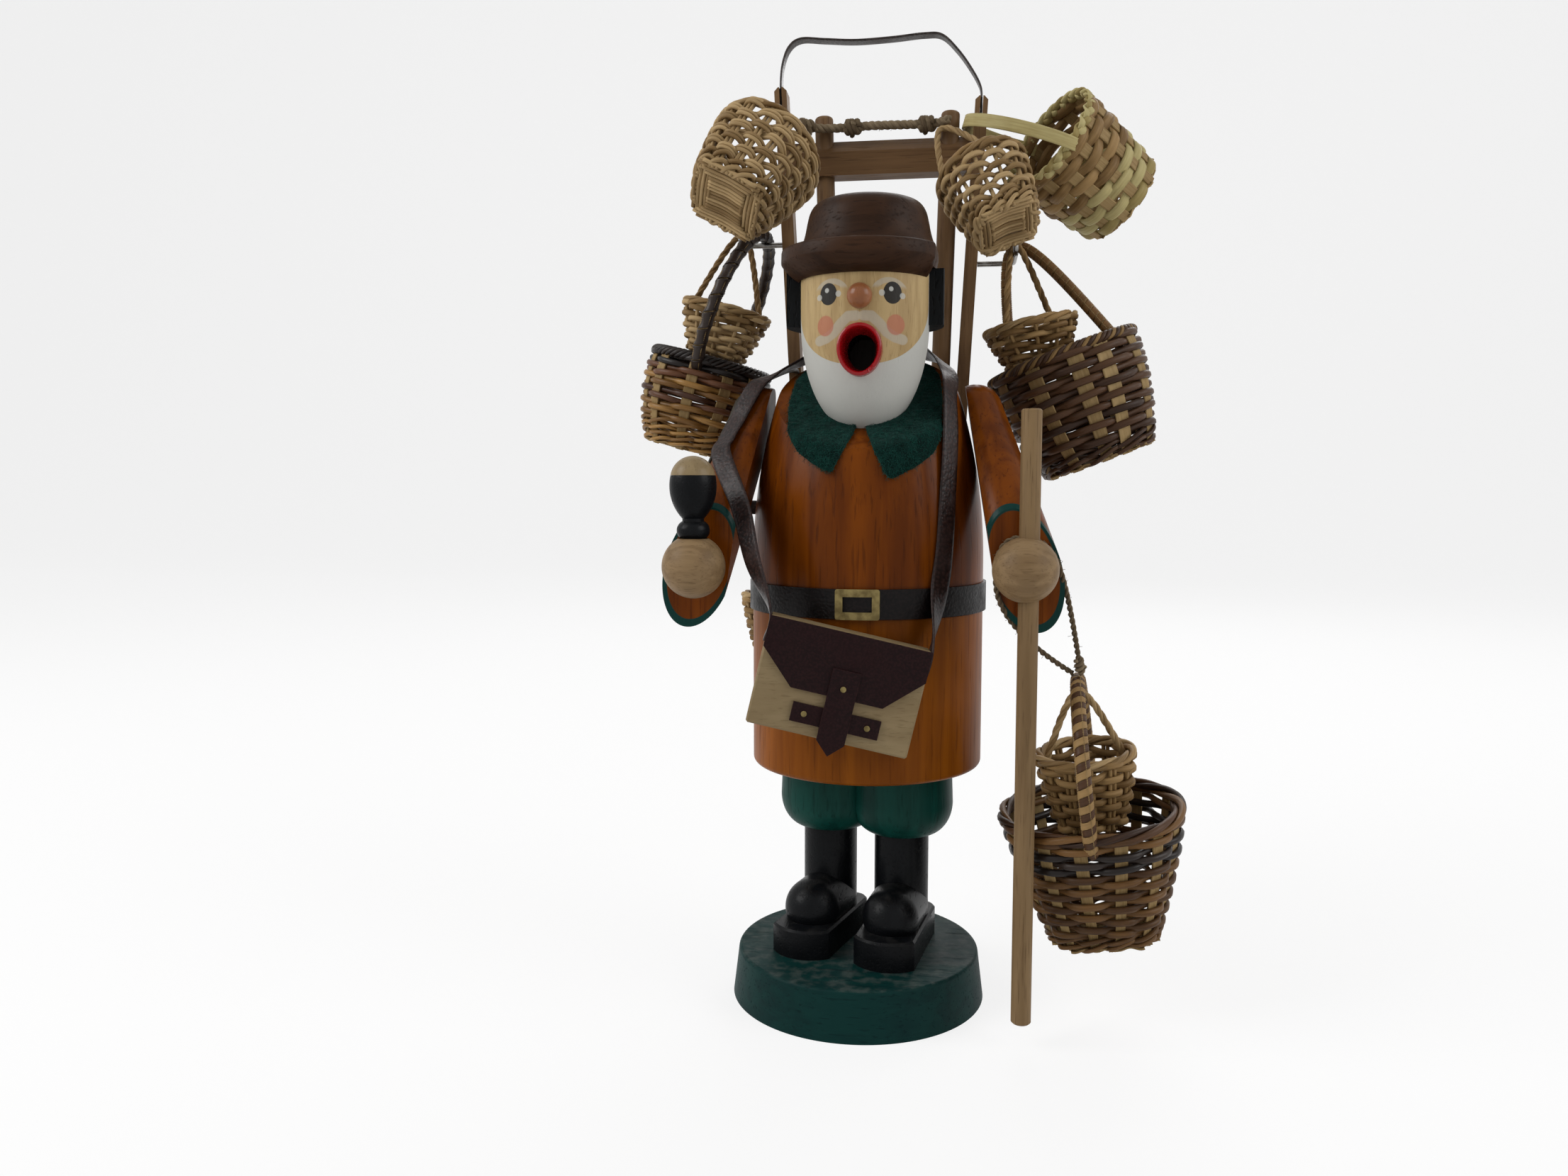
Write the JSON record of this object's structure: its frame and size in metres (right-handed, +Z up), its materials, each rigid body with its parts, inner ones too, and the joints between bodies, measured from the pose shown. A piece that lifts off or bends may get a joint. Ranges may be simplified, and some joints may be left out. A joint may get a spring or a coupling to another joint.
{
  "type": "incense_smoker",
  "caption": "Turned wooden incense smoker: a travelling basket seller with bag, staff, pipe, carrying frame and woven baskets; the upper figure lifts off a dish for the incense cone.",
  "frame": {"origin": "On the standing face, directly below the axis of the coat.", "axes": "+Z up; the upper figure looks along -Y; its left hand is at +X."},
  "size_m": [0.1941, 0.138, 0.339],
  "materials": {
    "green_wood": "matte",
    "black_wood": "satin",
    "coat_wood": "gloss",
    "lower_coat_wood": "satin",
    "dish_metal": "satin",
    "leather": "satin",
    "frame_leather": "satin",
    "brass": "satin",
    "face_wood": "satin",
    "nose_wood": "gloss",
    "red_lacquer": "gloss",
    "cap_wood": "satin",
    "felt": "matte",
    "pale_wood": "satin",
    "pale_wicker": "satin",
    "honey_wicker": "satin",
    "dark_wicker": "satin",
    "hemp": "matte"
  },
  "bodies": {
    "lower_figure": {"base_disc": "green_wood", "left_sole": "black_wood", "right_sole": "black_wood", "left_toe_cap": "black_wood", "right_toe_cap": "black_wood", "left_boot_shaft": "black_wood", "right_boot_shaft": "black_wood", "left_breeches": "green_wood", "right_breeches": "green_wood", "lower_coat": "lower_coat_wood", "incense_dish": "dish_metal", "dish_nail": "dish_metal"},
    "upper_figure": {"upper_coat": "coat_wood", "belt": "leather", "belt_buckle": "brass", "head": "face_wood", "mouth_ring": "red_lacquer", "nose": "nose_wood", "hair_band": "black_wood", "cap_crown": "cap_wood", "cap_visor": "cap_wood", "felt_collar": "felt", "left_arm": "coat_wood", "right_arm": "coat_wood", "left_hand": "pale_wood", "right_hand": "pale_wood", "staff": "pale_wood", "pipe": "black_wood", "pipe_lid": "pale_wood", "left_post": "pale_wood", "right_post": "pale_wood", "left_rail": "pale_wood", "right_rail": "pale_wood", "top_crossbar": "pale_wood", "middle_crossbar": "pale_wood", "leather_handle": "frame_leather", "basket_hooks": "dish_metal", "carry_strap": "frame_leather", "peg_twine": "hemp"},
    "shoulder_bag": {"bag_block": "pale_wood", "bag_flap": "leather", "bag_cross_strap": "leather", "bag_tongue": "leather", "bag_studs": "brass", "bag_shoulder_strap": "leather"},
    "right_baskets": {"right_basket": "honey_wicker", "right_basket_handle": "dark_wicker"},
    "right_small_body": {"right_small_basket": "pale_wicker"},
    "left_baskets": {"left_basket": "dark_wicker", "left_basket_handle": "dark_wicker", "left_small_basket": "pale_wicker"},
    "hand_baskets": {"hand_basket": "honey_wicker", "hand_basket_handle": "dark_wicker", "hand_small_basket": "pale_wicker", "hand_twine": "hemp"},
    "back_basket_body": {"back_basket": "pale_wicker"},
    "upper_right_body": {"upper_right_basket": "pale_wicker"},
    "upper_left_body": {"upper_left_basket": "pale_wicker"},
    "chip_body": {"chip_basket": "pale_wicker"}
  },
  "joints": [
    {"name": "lift_upper_figure", "type": "slide", "parent": "lower_figure", "child": "upper_figure", "axis": [0, 0, 1], "range_m": [0, 0.06]},
    {"name": "bag_swing", "type": "hinge", "parent": "upper_figure", "child": "shoulder_bag", "pos_m": [0, 0.0245, 0.226], "axis": [-1, 0, 0], "range_deg": [0, 12]},
    {"name": "right_baskets_swing", "type": "hinge", "parent": "upper_figure", "child": "right_baskets", "pos_m": [-0.04282, 0.04385, 0.2643], "axis": [1, 0, 0], "range_deg": [-8, 8]},
    {"name": "right_small_swing", "type": "hinge", "parent": "upper_figure", "child": "right_small_body", "pos_m": [-0.05032, 0.03785, 0.2643], "axis": [0, 1, 0], "range_deg": [0, 8]},
    {"name": "left_baskets_swing", "type": "hinge", "parent": "upper_figure", "child": "left_baskets", "pos_m": [0.04934, 0.03635, 0.2553], "axis": [0, -1, 0], "range_deg": [0, 18]},
    {"name": "hand_baskets_swing", "type": "hinge", "parent": "upper_figure", "child": "hand_baskets", "pos_m": [0.051, -0.036, 0.149], "axis": [0, -1, 0], "range_deg": [0, 18]},
    {"name": "back_basket_swing", "type": "hinge", "parent": "upper_figure", "child": "back_basket_body", "pos_m": [-0.03976, 0.06635, 0.1523], "axis": [0, 1, 0], "range_deg": [-10, 10]},
    {"name": "upper_right_basket_swing", "type": "hinge", "parent": "upper_figure", "child": "upper_right_body", "pos_m": [-0.0271, 0.03525, 0.3015], "axis": [-1, 0, 0], "range_deg": [0, 12]},
    {"name": "upper_left_basket_swing", "type": "hinge", "parent": "upper_figure", "child": "upper_left_body", "pos_m": [0.023, 0.03485, 0.3018], "axis": [-1, 0, 0], "range_deg": [0, 12]},
    {"name": "chip_basket_swing", "type": "hinge", "parent": "upper_figure", "child": "chip_body", "pos_m": [0.03159, 0.04385, 0.3053], "axis": [0, -1, 0], "range_deg": [0, 10]}
  ]
}
